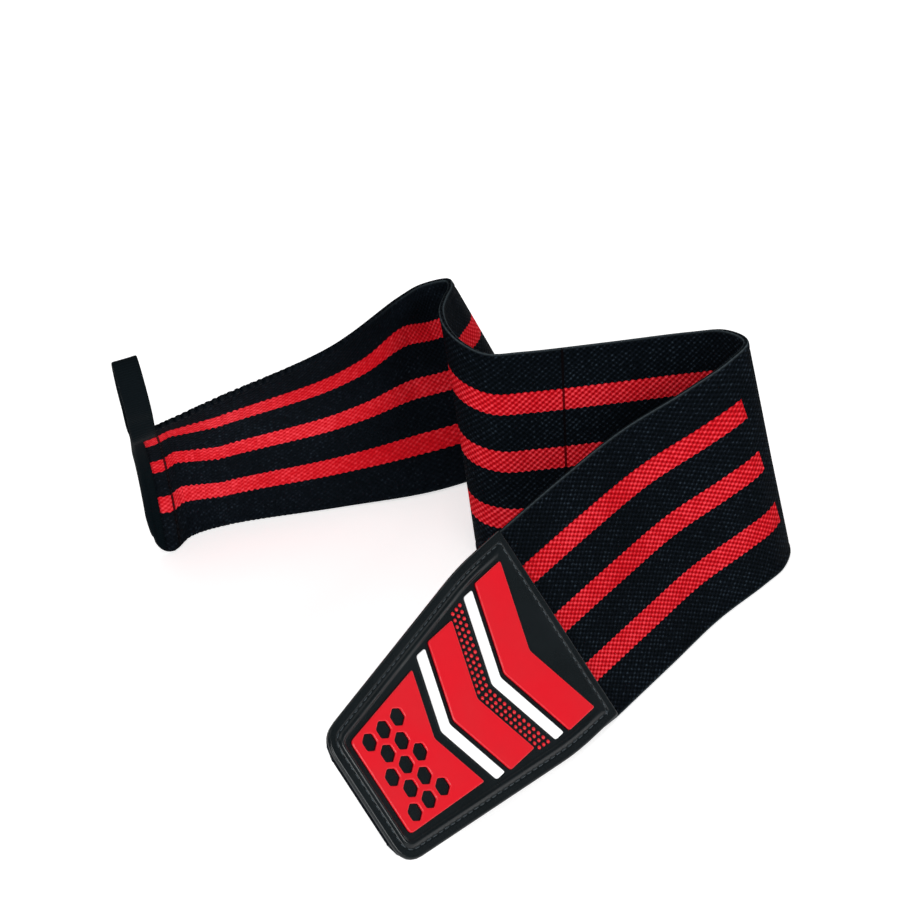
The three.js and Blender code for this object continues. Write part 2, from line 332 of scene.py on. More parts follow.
def ring_faces(rings: np.ndarray, caps: Caps = Caps.STRIP) -> list[tuple[int, ...]]:
    """Faces of a closed body through rings of equal count, turned outwards.

    Args:
        rings: Points as ring, place on the ring, and coordinate.
        caps: How the first and last rings are closed.

    Returns:
        Vertex numbers of each face.
    """
    count = rings.shape[1]
    last = (len(rings) - 1) * count
    faces = []
    for start in range(0, last, count):
        for k in range(count):
            a, b = start + k, start + (k + 1) % count
            faces.append((a, b, b + count, a + count))
    if caps is Caps.PLATE:
        faces += [tuple(range(count))[::-1], tuple(range(last, last + count))]
    else:
        for k in range(count // 2 - 1):
            facing = count - 1 - k
            faces.append((k, facing, facing - 1, k + 1))
            faces.append((last + k, last + k + 1, last + facing - 1, last + facing))
    triangles = np.array([(face[0], b, c) for face in faces for b, c in zip(face[1:], face[2:])])
    corners = rings.reshape(-1, 3)[triangles]
    volume = np.einsum("ij,ij->i", corners[:, 0], np.cross(corners[:, 1], corners[:, 2])).sum()
    return faces if volume > 0 else [face[::-1] for face in faces]


def there_and_back(values: np.ndarray) -> np.ndarray:
    """Values along one side of a wall, then the same ones back along its other side."""
    return np.concatenate([values, values[..., ::-1]], axis=-1)


def woven_wall(name: str, rings: np.ndarray, materials: Sequence[Material], along: np.ndarray,
               across: np.ndarray, cord_highlight: np.ndarray | float = 0.0) -> Piece:
    """Makes a closed wall whose points carry their own places in the weave.

    Args:
        name: The piece's name.
        rings: Points as ring, place on the ring, and coordinate, each ring going there and back.
        materials: The piece's materials, in slot order.
        along: Places along the weave, by ring and place, or what spreads to that.
        across: Places across the weave, in the same way.
        cord_highlight: How much painted highlight a point gets on the cords, in the same way.

    Returns:
        The linked object, at the origin.
    """
    piece = new_piece(name, rings, ring_faces(rings), materials)
    places = [np.broadcast_to(values, rings.shape[:2]) for values in (along, across, cord_highlight)]
    set_vectors(piece.data, "weave", np.stack(places, axis=-1))
    return piece


def filleted(corners: Sequence[Pair], radii: Sequence[float], steps: int) -> np.ndarray:
    """Rounds the corners of a closed outline.

    Args:
        corners: The outline's corners in order.
        radii: Length that each rounding takes from both of its sides.
        steps: Points in each rounding, less one.

    Returns:
        The rounded outline, one row for each point.
    """
    places = np.asarray(corners, float)
    share = np.linspace(0, 1, steps + 1)[:, None]
    rounded = []
    for before, corner, after, radius in zip(np.roll(places, 1, 0), places, np.roll(places, -1, 0), radii):
        start = corner + (before - corner) * radius / np.linalg.norm(before - corner)
        end = corner + (after - corner) * radius / np.linalg.norm(after - corner)
        rounded.append((1 - share) ** 2 * start + 2 * share * (1 - share) * corner + share ** 2 * end)
    return np.vstack(rounded)


# Finishes


@dataclass(frozen=True)
class WovenElastic:
    """Rib-woven polyester and rubber elastic: soft matt humps of thread in staggered rows, with stripes."""

    name: str
    column: float
    row: float
    slant: float
    width: float = STRAP_WIDTH
    stripe_places: tuple[float, ...] = (0.235, 0.5, 0.765)
    stripe_width: float = 7.6
    stripe_wave: float = 0.18
    striped: Band = Band(266.7, 526.6)
    bare: Band = Band(312.3, 22, lean=7)
    hem: Band = Band(HEM_PLACE, 1.1)
    crease: Band = Band(237.6, 0.9, lean=7.7, pivot=0.7)
    flat_reach: Pair = (100, 230)
    flat_relief: float = 0.35
    # Painted light: towards the loop end the threads are painted lighter, by this gain over this reach
    painted_light_reach: Pair = (90, 30)
    pale: float = 1.28
    # Colours of a hump's gap, side and top: painted shade in the gaps, the thread's colour on the sides and
    # a painted highlight on the tops
    black_shade_to_highlight: tuple[str, str, str] = ("#000203", "#080d13", "#27313a")
    red_shade_to_highlight: tuple[str, str, str] = ("#7e0007", "#b60e19", "#e2404a")
    black_spread: Swing = Swing(0.3, 0.4)
    red_spread: Swing = Swing(0.3, 0.85)
    mottle_size: float = 28.57
    mottle_detail: float = 2
    mottle_spread: Swing = Swing(0.6, 0.7)
    # Painted shade: the sunk hem and crease are darkened with this colour and depth, and their humps by this
    # swing
    sunk_shade: str = "#080304"
    sunk_shade_depth: float = 0.65
    sunk_shade_spread: Swing = Swing(-0.85, 1)
    # Painted highlight: the lighter colour along the selvedge cords' crests
    cord_highlight: str = "#394145"
    lint: str = "#2a3036"
    lint_size: float = 0.9
    lint_detail: float = 3
    lint_spread: Swing = Swing(1.6, 0.3)
    lint_range: Pair = (0.7, 0.86)
    lint_share: float = 0.8
    lint_relief: float = 0.25
    relief: float = 0.45
    roughness: float = 0.82
    gloss: float = 0.025

    def material(self) -> Material:
        """Builds the material, which reads the strap's own places along and across, in millimetres.

        Returns:
            The material.
        """
        material, add, surface = shader(self.name)
        place = add("ShaderNodeAttribute", attribute_name="weave").outputs["Vector"]
        along, across, cord_highlight = add("ShaderNodeSeparateXYZ", place).outputs

        def varied(share: Node, by: Node, swing: Swing) -> Node:
            """Multiplies a share by another value's swing."""
            return add(MATH, share, add(MATH, by, *swing, operation="MULTIPLY_ADD"), operation="MULTIPLY")

        def shaded_and_highlit(share: Node, shade_to_highlight: tuple[str, str, str]) -> Node:
            """Goes from painted shade through the thread's own colour to a painted highlight.

            Args:
                share: How far to go, from 0 to 1.
                shade_to_highlight: Colours of the gap, side and top of a hump: painted shade in the gap, the
                    thread's colour on the side and a painted highlight on the top.

            Returns:
                The node that gives the colour.
            """
            gap, side, top = map(linear, shade_to_highlight)
            lower = add(MIX, add(RANGE, share, 0, 0.5), gap, side, data_type="RGBA")
            return add(MIX, add(RANGE, share, 0.5, 1), lower, top, data_type="RGBA")

        # Staggered humps: every other column sits half a row higher, and the slant draws the humps out.
        # Towards the loop end the cloth is drawn tighter, so the humps are flatter there
        column_turn = add(MATH, along, math.pi / self.column, operation="MULTIPLY")
        row_turn = add(MATH, across, math.tau / self.row, operation="MULTIPLY")
        column_wave = add(MATH, column_turn, operation="COSINE")
        upright = add(MATH, column_wave, add(MATH, row_turn, operation="COSINE"), operation="MULTIPLY")
        leaning = add(MATH, add(MATH, column_turn, operation="SINE"), add(MATH, row_turn, operation="SINE"),
                      operation="MULTIPLY")
        swell = add(MATH, leaning, self.slant, upright, operation="MULTIPLY_ADD")
        drawn_flat = add(RANGE, along, *self.flat_reach, self.flat_relief / 2, 0.5)
        hump = add(MATH, swell, drawn_flat, 0.5, operation="MULTIPLY_ADD")
        column = add(MATH, add(MATH, along, self.column, operation="DIVIDE"), operation="ROUND")
        stagger = add(MATH, add(MATH, column, 1, operation="PINGPONG"), -0.5, operation="MULTIPLY")
        staggered = add(MATH, add(MATH, across, self.row, operation="DIVIDE"), stagger, operation="ADD")
        row = add(MATH, staggered, operation="ROUND")

        # Stripes have wavy edges and stop at a bare stretch and at the ends. The hem and a crease are sunk
        # and darkened with painted shade
        nearest = self.width
        for share in self.stripe_places:
            offset = add(MATH, across, share * self.width, operation="SUBTRACT")
            nearest = add(MATH, nearest, add(MATH, offset, operation="ABSOLUTE"), operation="MINIMUM")
        reach = add(MATH, column_wave, self.stripe_wave, self.stripe_width / 2, operation="MULTIPLY_ADD")
        stripe = add(MATH, nearest, reach, operation="LESS_THAN")
        striped, bare, hem, crease = (
            add(MATH, add(MATH, across, -band.lean / self.width, along, operation="MULTIPLY_ADD"),
                band.place - band.lean * band.pivot, band.width / 2, operation="COMPARE")
            for band in (self.striped, self.bare, self.hem, self.crease))
        red = add(MATH, add(MATH, stripe, striped, operation="MULTIPLY"),
                  add(MATH, 1, bare, operation="SUBTRACT"), operation="MULTIPLY")
        sunk = add(MATH, hem, crease, operation="MAXIMUM")

        # Threads differ, black ones more than red ones. A few catch lint. Towards the loop end the threads
        # are painted lighter, a painted pool of light
        painted_light = add(RANGE, along, *self.painted_light_reach, 1, self.pale)
        cell = add("ShaderNodeCombineXYZ", column, row)
        chance = add("ShaderNodeTexWhiteNoise", cell, noise_dimensions="2D")
        fuzz = add(NOISE, place, 1 / self.lint_size, self.lint_detail, noise_dimensions="2D")
        mottle = add(NOISE, place, 1 / self.mottle_size, self.mottle_detail, noise_dimensions="2D")
        thread = varied(add(MATH, hump, painted_light, operation="MULTIPLY"), mottle, self.mottle_spread)
        # Painted shade: the humps in the sunk hem and crease are darkened
        thread = varied(thread, sunk, self.sunk_shade_spread)
        red_share = varied(thread, chance, self.red_spread)
        black_share = varied(varied(thread, chance, self.black_spread), fuzz, self.lint_spread)
        lint = add(RANGE, fuzz, *self.lint_range, 0, self.lint_share)

        # Black and red threads: painted shade in the gaps between humps, painted highlight on their tops
        black = add(MIX, lint, shaded_and_highlit(black_share, self.black_shade_to_highlight), linear(self.lint), data_type="RGBA")
        # Painted highlight along the selvedge cords
        ground = add(MIX, cord_highlight, black, linear(self.cord_highlight), data_type="RGBA")
        colour = add(MIX, red, ground, shaded_and_highlit(red_share, self.red_shade_to_highlight), data_type="RGBA")
        # Painted shade along the sunk hem and crease
        sunk_shade = add(MATH, sunk, self.sunk_shade_depth, operation="MULTIPLY")
        colour = add(MIX, sunk_shade, colour, linear(self.sunk_shade), data_type="RGBA")
        height = add(MATH, add(MATH, fuzz, self.lint_relief, hump, operation="MULTIPLY_ADD"), sunk,
                     operation="SUBTRACT")
        bump = add(BUMP, inputs={"Strength": 1, "Distance": self.relief * MM, "Height": height})
        fill(surface, inputs={"Base Color": colour, "Normal": bump, "Roughness": self.roughness,
                              "Specular IOR Level": self.gloss})
        return material


@dataclass(frozen=True)
class WovenTape:
    """Flat woven polyester tape: dense, nearly smooth and darker than the elastic, with fine cross ribs."""

    name: str
    colour: str = "#02070a"
    rib_colour: str = "#060e13"
    rib: float = 0.9
    rib_wobble: float = 0.6
    rib_detail: float = 2
    fuzz_size: float = 0.7143
    fuzz_detail: float = 4
    relief: float = 0.12
    relief_share: float = 0.8
    roughness: float = 0.7
    gloss: float = 0.045

    def material(self) -> Material:
        """Builds the material, whose ribs follow the tape's own places and are drawn coarse enough to show.

        Returns:
            The material.
        """
        material, add, surface = shader(self.name)
        place = add("ShaderNodeAttribute", attribute_name="weave").outputs["Vector"]
        ribs = add(WAVE, place, math.tau / (BAND_RATE * self.rib), self.rib_wobble, self.rib_detail,
                   wave_type="BANDS", bands_direction="X").outputs["Fac"]
        fuzz = add(NOISE, place, 1 / self.fuzz_size, self.fuzz_detail)
        # Lighter along the ribs, varied by noise
        rib_tone = add(MATH, ribs, fuzz, operation="MULTIPLY")
        colour = add(MIX, rib_tone, linear(self.colour), linear(self.rib_colour), data_type="RGBA")
        bump = add(BUMP, inputs={"Strength": self.relief_share, "Distance": self.relief * MM,
                                 "Height": ribs})
        fill(surface, inputs={"Base Color": colour, "Normal": bump, "Roughness": self.roughness,
                              "Specular IOR Level": self.gloss})
        return material


@dataclass(frozen=True)
class MouldedRubber:
    """Soft PVC rubber, poured and cured in a mould: even satin colour, a faint grain and bright edges."""

    name: str
    colour: str
    shade: str
    grain: float = 0.6
    grain_detail: float = 3
    grain_share: float = 0.35
    cloud: float = 18
    cloud_detail: float = 2
    tone_range: Pair = (0.2, 1.15)
    gloss_range: Pair = (0.1, 0.9)
    relief: float = 0.03
    relief_share: float = 0.6
    roughness: float = 0.32
    roughness_swing: float = 0.06
    gloss: float = 0.4

    def material(self) -> Material:
        """Builds the material on object coordinates, with the grain drawn coarse enough to show.

        Returns:
            The material.
        """
        material, add, surface = shader(self.name)
        place = add("ShaderNodeTexCoord").outputs["Object"]
        grain = add(NOISE, place, 1 / (self.grain * MM), self.grain_detail)
        cloud = add(NOISE, place, 1 / (self.cloud * MM), self.cloud_detail)
        mixed = add(MATH, grain, self.grain_share, cloud, operation="MULTIPLY_ADD")
        share = add(RANGE, mixed, *self.tone_range)
        colour = add(MIX, share, linear(self.colour), linear(self.shade), data_type="RGBA")
        roughness = add(RANGE, cloud, *self.gloss_range, self.roughness - self.roughness_swing,
                        self.roughness + self.roughness_swing)
        bump = add(BUMP, inputs={"Strength": self.relief_share, "Distance": self.relief * MM,
                                 "Height": grain})
        fill(surface, inputs={"Base Color": colour, "Normal": bump, "Roughness": roughness,
                              "Specular IOR Level": self.gloss})
        return material


@dataclass(frozen=True)
class Thread:
    """Twisted polyester thread or nylon monofilament: small smooth strands with a soft gloss."""

    name: str
    colour: str
    twist_colour: str
    gloss: float = 0.15
    twist: float = 0.5
    twist_wobble: float = 1
    roughness: float = 0.55

    def material(self) -> Material:
        """Builds the material on object coordinates, with the strands as fine bands.

        Returns:
            The material.
        """
        material, add, surface = shader(self.name)
        place = add("ShaderNodeTexCoord").outputs["Object"]
        bands = add(WAVE, place, math.tau / (BAND_RATE * self.twist * MM), self.twist_wobble,
                    wave_type="BANDS", bands_direction="DIAGONAL").outputs["Fac"]
        colour = add(MIX, bands, linear(self.colour), linear(self.twist_colour), data_type="RGBA")
        fill(surface, inputs={"Base Color": colour, "Roughness": self.roughness,
                              "Specular IOR Level": self.gloss})
        return material


# The strap's path


class SmoothCurve:
    """Centripetal Catmull-Rom curve through a row of points, with mirrored ends."""

    def __init__(self, points: np.ndarray) -> None:
        """Keeps the points, with one mirrored point before and after them."""
        self.points = np.vstack([2 * points[0] - points[1], points, 2 * points[-1] - points[-2]])

    def at(self, spans: np.ndarray) -> np.ndarray:
        """Places on the curve.

        Args:
            spans: Places counted in points from the first, whole numbers being the points themselves.

        Returns:
            One row for each place.
        """
        first = np.minimum(spans.astype(int), len(self.points) - 4)
        local = (spans - first)[:, None]
        p0, p1, p2, p3 = (self.points[first + k] for k in range(4))
        sides = ((p0, p1), (p1, p2), (p2, p3))
        d0, d1, d2 = (np.sqrt(np.linalg.norm(b - a, axis=1))[:, None] for a, b in sides)
        leave = d1 * ((p1 - p0) / d0 - (p2 - p0) / (d0 + d1) + (p2 - p1) / d1)
        arrive = d1 * ((p2 - p1) / d1 - (p3 - p1) / (d1 + d2) + (p3 - p2) / d2)
        square = 3 * (p2 - p1) - 2 * leave - arrive
        cube = 2 * (p1 - p2) + leave + arrive
        return p1 + local * (leave + local * (square + local * cube))


@dataclass
class StrapPath:
    """The strap's middle surface: a bent run through the rulings, then a level run under the patch."""

    width: float = STRAP_WIDTH
    thickness: float = 2
    patch_length: float = 122.5
    straight: float = 26
    tip_width: float = 55
    tip_radius: float = 8
    rise: float = 1
    turn: float = math.radians(1.2)
    inset: float = 1
    corner_radius: float = 7
    samples: int = 60
    probe: float = 0.05
    probe_share: float = 0.001
    box_step: float = 1
    box_rows: int = 7

    def __post_init__(self) -> None:
        """Makes the edge curves, the level run's axes and the table of lengths, and finds the shift."""
        table = np.array(list(RULINGS.values()), float)
        feet = np.column_stack([table[:, :2], np.zeros(len(table))])
        self.foot, self.head, self.bows = SmoothCurve(feet), SmoothCurve(table[:, 2:5]), table[:, 5]
        up = table[-1, 2:5] - feet[-1]
        up /= np.linalg.norm(up)
        along = np.array([-up[1], up[0], 0]) / np.hypot(*up[:2])
        self.last_along = along
        self.out = np.cross(up, along)
        self.up = math.cos(self.turn) * up - math.sin(self.turn) * along
        self.along = math.cos(self.turn) * along + math.sin(self.turn) * up
        self.centre = feet[-1] + up * (self.width / 2 + self.rise)
        self.spans = np.linspace(0, len(table) - 1, self.samples * (len(table) - 1) + 1)
        middle = (self.foot.at(self.spans) + self.head.at(self.spans)) / 2
        steps = np.linalg.norm(np.diff(middle, axis=0), axis=1)
        self.lengths = np.concatenate([[0], np.cumsum(steps)])
        self.shift = np.zeros(3)
        self.shift = self.found_shift()

    @property
    def bent_length(self) -> float:
        """Length of the bent run, along its middle."""
        return float(self.lengths[-1])

    @property
    def length(self) -> float:
        """Whole length of the strap, along its middle."""
        return self.bent_length + self.patch_length - self.inset

    def half_width(self, beyond: np.ndarray | float) -> np.ndarray:
        """Half the width of the patch end, at distances from the patch's inner end."""
        taper = np.maximum(np.asarray(beyond) - self.straight, 0) / (self.patch_length - self.straight)
        return (self.width + (self.tip_width - self.width) * taper) / 2

    def trimmed(self, along: np.ndarray, share: np.ndarray) -> np.ndarray:
        """Keeps places across inside the rounded corners and the tapered end.

        Args:
            along: Distances from the loop end.
            share: Places across the cloth, from its lower edge at 0 to its upper edge at 1.

        Returns:
            Shares of the full width, as rows along and columns across.
        """
        def corner(distance: np.ndarray, radius: float) -> np.ndarray:
            """Share of the width that a rounded corner takes off at a distance from the end."""
            reach = np.clip(radius - distance, 0, radius)
            return (radius - np.sqrt(radius ** 2 - reach ** 2)) / self.width

        low = corner(along, self.corner_radius)[:, None]
        beyond = along - self.bent_length
        half = (self.half_width(beyond) - self.inset * np.clip(beyond / self.straight, 0, 1)) / self.width
        half = half - corner(self.length - along, self.tip_radius)
        spread = 0.5 + half[:, None] * (2 * share[None, :] - 1)
        return np.where(beyond[:, None] > 0, spread, low + (1 - low) * share[None, :])

    def net(self, along: np.ndarray, share: np.ndarray) -> tuple[np.ndarray, np.ndarray, np.ndarray]:
        """Points of the middle surface.

        Args:
            along: Distances from the loop end.
            share: Places across the cloth, from its lower edge at 0 to its upper edge at 1.

        Returns:
            The points, their unit normals on the pebble face's side, and their trimmed shares.
        """
        shares = self.trimmed(along, share)
        ahead = self.points(along + self.probe, shares)
        behind = self.points(np.maximum(along - self.probe, 0), shares)
        above = self.points(along, shares + self.probe_share)
        below = self.points(along, shares - self.probe_share)
        normals = np.cross(ahead - behind, above - below)
        normals /= np.linalg.norm(normals, axis=2, keepdims=True)
        return self.points(along, shares), normals, shares

    def points(self, along: np.ndarray, shares: np.ndarray) -> np.ndarray:
        """Points at given places.

        Args:
            along: Distances from the loop end.
            shares: Shares of the full width, a row for each distance.

        Returns:
            The points, as rows along and columns across.
        """
        spans = np.interp(along, self.lengths, self.spans)
        foot, head = self.foot.at(spans), self.head.at(spans)
        square = np.cross(head - foot, (1.0, 0, 0))
        square /= np.linalg.norm(square, axis=1, keepdims=True)
        bow = np.interp(spans, np.arange(len(self.bows)), self.bows)
        hollow = bow[:, None] * 4 * shares * (1 - shares)
        beyond = np.maximum(along - self.bent_length, 0)[:, None, None]
        rising = (head - foot)[:, None] * shares[..., None]
        bent = foot[:, None] + rising + hollow[..., None] * square[:, None]
        level = self.centre + self.up * self.width * (shares[..., None] - 0.5) + self.along * beyond
        blend = np.minimum(beyond / self.straight, 1)
        return (1 - blend) * (bent + self.last_along * beyond) + blend * level + self.shift

    def found_shift(self) -> np.ndarray:
        """Compares the walls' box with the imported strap's.

        Returns:
            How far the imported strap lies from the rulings' own frame.
        """
        rows = np.linspace(0, 1, self.box_rows)
        points, normals, _ = self.net(np.arange(0, self.length, self.box_step), rows)
        offset = normals * self.thickness / 2
        walls = np.concatenate([points + offset, points - offset]).reshape(-1, 3)
        low, high = (np.array(corner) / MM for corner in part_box("elastic_strap"))
        shift = (low + high - walls.min(0) - walls.max(0)) / 2
        shift[2] = low[2] - walls[:, 2].min()
        return shift

    @cached_property
    def patch_frame(self) -> np.ndarray:
        """Works out the patch's own axes: x across, y to the tip and z outwards.

        Returns:
            The axes and the origin, as a 4 by 4 matrix in millimetres.
        """
        matrix = np.eye(4)
        matrix[:3, :3] = np.column_stack([self.up, self.along, self.out])
        matrix[:3, 3] = self.centre + self.shift
        return matrix

    def on_patch(self, points: np.ndarray) -> np.ndarray:
        """Turns points in the patch's own axes to the part's frame."""
        return points @ self.patch_frame[:3, :3].T + self.patch_frame[:3, 3]


# Repeats made by Geometry Nodes


def node_group(name: str, sockets: dict[str, str]) -> tuple[NodeTree, Adder, Any]:
    """Starts a tree of geometry nodes.

    Args:
        name: The tree's name.
        sockets: Its named inputs and their kinds.

    Returns:
        The tree, the function that adds nodes to it, and its inputs by name.
    """
    tree = bpy.data.node_groups.new(name, "GeometryNodeTree")
    for socket, kind in sockets.items():
        tree.interface.new_socket(name=socket, in_out="INPUT", socket_type=f"NodeSocket{kind}")
    tree.interface.new_socket(name="Geometry", in_out="OUTPUT", socket_type="NodeSocketGeometry")
    add = partial(add_node, tree)
    return tree, add, add("NodeGroupInput").outputs


def end_group(add: Adder, instances: Node, finish: bpy.types.NodeSocket) -> None:
    """Ends a tree of geometry nodes.

    Args:
        add: The function that adds nodes to it.
        instances: What it has laid, which is made real and smooth.
        finish: The input that gives the material.
    """
    real = add("GeometryNodeRealizeInstances", instances)
    smooth = add("GeometryNodeSetShadeSmooth", real)
    add("NodeGroupOutput", add("GeometryNodeSetMaterial", smooth, inputs={"Material": finish}))


def grown(name: str, tree: NodeTree, points: np.ndarray, outs: np.ndarray,
          edges: Sequence[tuple[int, int]], values: dict[str, Any]) -> Piece:
    """Runs a tree of geometry nodes on points and keeps the plain mesh that it makes.

    Args:
        name: The piece's name.
        tree: The tree.
        points: One row for each point, in millimetres.
        outs: The points' outward directions.
        edges: Point numbers at the ends of each edge.
        values: The tree's inputs, by name.

    Returns:
        The linked object, at the origin, with no modifier left.
    """
    mesh = bpy.data.meshes.new(name)
    mesh.from_pydata((points * MM).tolist(), edges, [])
    set_vectors(mesh, "out", outs)
    piece = bpy.data.objects.new(name, mesh)
    modifier = piece.modifiers.new(tree.name, "NODES")
    modifier.node_group = tree
    for item in tree.interface.items_tree:
        if item.in_out == "INPUT" and item.name in values:
            modifier[item.identifier] = values[item.name]
    bpy.context.scene.collection.objects.link(piece)
    result = plain_mesh(piece)
    piece.modifiers.clear()
    piece.data = result
    bpy.data.meshes.remove(mesh)
    result.name = name
    return piece


@dataclass(frozen=True)
class ThreadRun:
    """Short rounded pieces laid end to end along a path, such as stitches or selvedge ribs."""

    pitch: float
    length: float
    width: float
    height: float
    segments: int = 8
    rings: int = 5

    @cached_property
    def tree(self) -> NodeTree:
        """Builds the node tree: a ball on each point of the path, stretched to size and turned along it.

        Returns:
            The tree.
        """
        sockets = {"Path": "Geometry", "Pitch": "Float", "Size": "Vector", "Finish": "Material"}
        tree, add, given = node_group("thread_run", sockets)
        path = add("GeometryNodeMeshToCurve", given["Path"])
        points = add("GeometryNodeResampleCurve", path, inputs={"Length": given["Pitch"]}, mode="LENGTH")
        tangent = add("GeometryNodeInputTangent")
        out = add("GeometryNodeInputNamedAttribute", "out", data_type="FLOAT_VECTOR")
        turned = add("FunctionNodeAlignRotationToVector", inputs={"Vector": tangent}, axis="X")
        settled = add("FunctionNodeAlignRotationToVector", inputs={"Rotation": turned, "Vector": out},
                      axis="Z", pivot_axis="X")
        ball = add("GeometryNodeMeshUVSphere", self.segments, self.rings, 0.5)
        laid = add("GeometryNodeInstanceOnPoints", inputs={"Points": points, "Instance": ball,
                                                           "Rotation": settled, "Scale": given["Size"]})
        end_group(add, laid, given["Finish"])
        return tree

    def lay(self, name: str, paths: Sequence[tuple[np.ndarray, np.ndarray]], material: Material) -> Piece:
        """Lays the pieces along paths.

        Args:
            name: The piece's name.
            paths: Pairs of points and their outward directions, in millimetres.
            material: The pieces' material.

        Returns:
            One plain mesh object of all the pieces.
        """
        points, outs = (np.vstack(rows) for rows in zip(*paths))
        starts = np.cumsum([0] + [len(path) for path, _ in paths])
        edges = [(k, k + 1) for a, b in zip(starts, starts[1:]) for k in range(a, b - 1)]
        sizes = tuple(size * MM for size in (self.length, self.width, self.height))
        values = {"Pitch": self.pitch * MM, "Size": sizes, "Finish": material}
        return grown(name, self.tree, points, outs, edges, values)


# Sub-assemblies


@dataclass
class ElasticStrap:
    """The striped elastic, with its rounded selvedges and the ribs that the weft makes along them."""

    path: StrapPath
    step: float = 1.25
    across_step: float = 1.9
    pucker: Pair = (40, 75)
    hem_skew: float = 3.2
    hem_ease: float = 1.1
    end_reach: Pair = (15, 70)
    end_lift: float = 4.5
    arch_place: float = 108
    arch_reach: float = 20
    arch_lift: float = 4.3
    gather_start: Pair = (10, 15)
    gather_pitch: float = 2.1
    gather_depth: float = 0.17
    gather_drift: float = 0.9
    gather_step: float = 0.42
    # The painted highlight on the selvedge cords fades in over this stretch
    cord_highlight_shows: Pair = (90, 180)
    rib_run: ThreadRun = ThreadRun(pitch=3, length=2.5, width=2.5, height=2.2)
    rib_start: float = 7
    rib_step: float = 1
    rib_facing: float = 0.01
    rib_depth: float = 1.12
    rib_end_depths: dict[Edge, float] = field(default_factory=lambda: {Edge.LOWER: 0.8, Edge.UPPER: 0.3})

    def section(self) -> np.ndarray:
        """Works out half of the section, from edge to edge.

        Returns:
            Rows of distance across, half thickness and share of painted highlight on the cords.
        """
        edge = np.array(SELVEDGE, float)
        inner = edge[-1, 0]
        count = round((self.path.width - 2 * inner) / self.across_step)
        middle = np.zeros((count, 3))
        middle[:, 0] = np.linspace(inner, self.path.width - inner, count)
        middle[:, 1] = self.path.thickness / 2
        far = edge[-2::-1] * (-1, 1, 1) + (self.path.width, 0, 0)
        return np.concatenate([edge[:-1], middle, far])

    def gathers(self, along: np.ndarray, shares: np.ndarray) -> np.ndarray:
        """Works out the fine gathers that the hem's stitches draw into the cloth.

        Args:
            along: Distances from the loop end.
            shares: Shares of the full width, a row for each distance.

        Returns:
            Their heights, as rows along and columns across.
        """
        strength = np.interp(along, (*self.gather_start, *self.pucker), (0, 1, 1, 0))[:, None]
        along = along[:, None]
        drift = self.gather_drift * np.sin(math.tau * shares + along / self.pucker[0])
        return self.gather_depth * strength * np.cos(math.tau * along / self.gather_pitch + drift)

    def drift(self, along: np.ndarray, shares: np.ndarray) -> np.ndarray:
        """Works out how far the weave lies off its even place across the strap.

        Args:
            along: Distances from the loop end.
            shares: Shares of the full width, a row for each distance.

        Returns:
            The drift, askew where the hem is turned up, and drawn up near the end and before the apex.
        """
        askew = self.hem_skew * np.maximum(1 - along / HEM_PLACE, 0)
        arch = np.cos(np.clip((along - self.arch_place) / self.arch_reach, -1, 1) * math.pi / 2) ** 2
        lift = self.end_lift * np.interp(along, self.end_reach, (1, 0)) + self.arch_lift * arch
        return askew[:, None] * (self.hem_ease * shares ** 2 - 1) - lift[:, None] * shares ** 2

    def build(self) -> Piece:
        """Builds the cloth as one closed wall with a material on each face.

        Returns:
            The cloth.
        """
        gathered = self.pucker[1]
        count = round((self.path.length - gathered) / self.step)
        along = np.concatenate([np.arange(0, gathered, self.gather_step),
                                np.linspace(gathered, self.path.length, count + 1)])
        across, halves, cord_highlights = self.section().T
        points, normals, shares = self.path.net(along, across / self.path.width)
        points = points + normals * self.gathers(along, shares)[..., None]
        offset = normals * halves[None, :, None]
        rings = np.concatenate([points + offset, (points - offset)[:, ::-1]], axis=1)
        levels = shares * self.path.width + self.drift(along, shares)
        highlight_shown = np.interp(along, self.cord_highlight_shows, (0, 1))[:, None]
        pebble = WovenElastic("woven_elastic_pebble", column=1.22, row=1.9, slant=0.2)
        brick = WovenElastic("woven_elastic_brick", column=1.4, row=1.9, slant=0.05,
                             red_shade_to_highlight=("#780006", "#ae0d17", "#da3b45"))
        cloth = woven_wall("elastic_strap_cloth", rings, [pebble.material(), brick.material()],
                           along[:, None], there_and_back(levels), there_and_back(cord_highlights) * highlight_shown)
        middle, polygons = len(across), cloth.data.polygons
        slots = [int(max(k % (2 * middle) for k in face.vertices) >= middle) for face in polygons]
        polygons.foreach_set("material_index", slots)
        return cloth

    def ribs(self, material: Material) -> Piece:
        """Builds the small ribs where the weft turns round both edges.

        Args:
            material: The weft's material.

        Returns:
            The ribs of both edges.
        """
        along = np.arange(self.rib_start, self.path.bent_length, self.rib_step)
        paths = []
        for edge, end_depth in self.rib_end_depths.items():
            depth = np.interp(along, self.pucker, (end_depth, self.rib_depth)) / self.path.width
            shares = depth if edge is Edge.LOWER else 1 - depth
            _, normals, _ = self.path.net(along, np.array([abs(edge.value - self.rib_facing)]))
            paths.append((self.path.points(along, shares[:, None])[:, 0], normals[:, 0]))
        return self.rib_run.lay("selvedge_ribs", paths, material)


